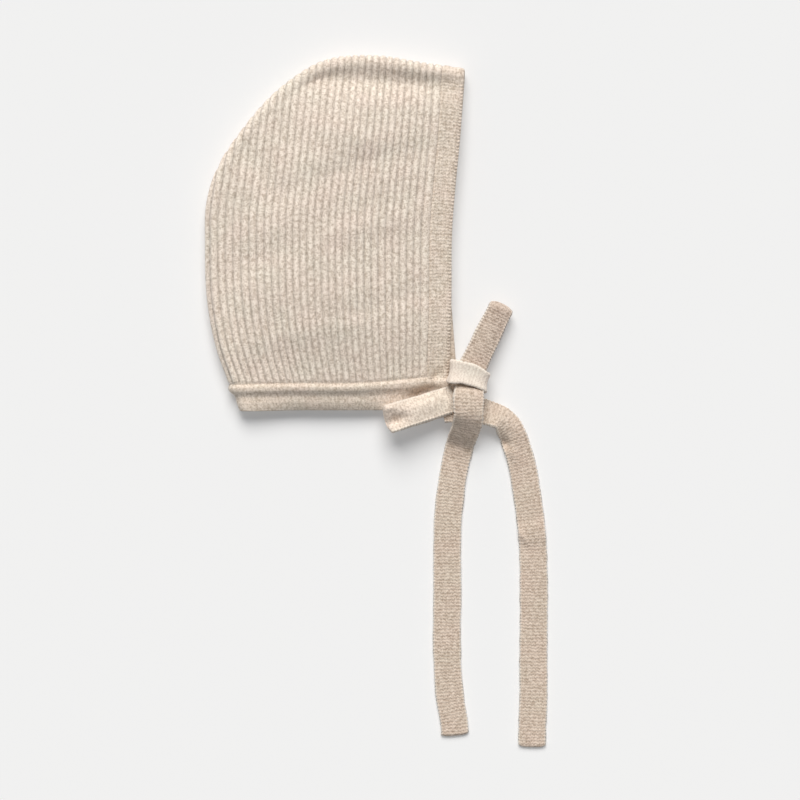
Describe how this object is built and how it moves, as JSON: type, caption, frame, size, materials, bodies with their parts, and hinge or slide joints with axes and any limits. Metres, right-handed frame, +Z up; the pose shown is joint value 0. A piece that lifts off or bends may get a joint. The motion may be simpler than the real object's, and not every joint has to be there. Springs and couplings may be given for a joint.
{
  "type": "baby bonnet",
  "caption": "Rib-knitted baby bonnet lying flat on its side, with plain bands at the face and neck edges and flat ties in a bow.",
  "frame": {"origin": "middle of the footprint, on the surface the bonnet lies on", "axes": "+Z up from that surface, +Y from the neck edge to the crown, +X out of the face opening"},
  "size_m": [0.1712, 0.346, 0.0173],
  "materials": {
    "ribbed_knit": "heathered rib knit",
    "band_knit": "heathered plain knit",
    "tie_knit": "heathered plain knit"
  },
  "bodies": {
    "root": {"side_panel_near": "ribbed_knit", "side_panel_far": "ribbed_knit", "face_band": "band_knit", "neck_band": "band_knit", "bow_knot": "tie_knit", "bow_loop_upper": "tie_knit", "bow_loop_left": "tie_knit", "tail_left": "tie_knit", "tail_right": "tie_knit"}
  },
  "joints": []
}
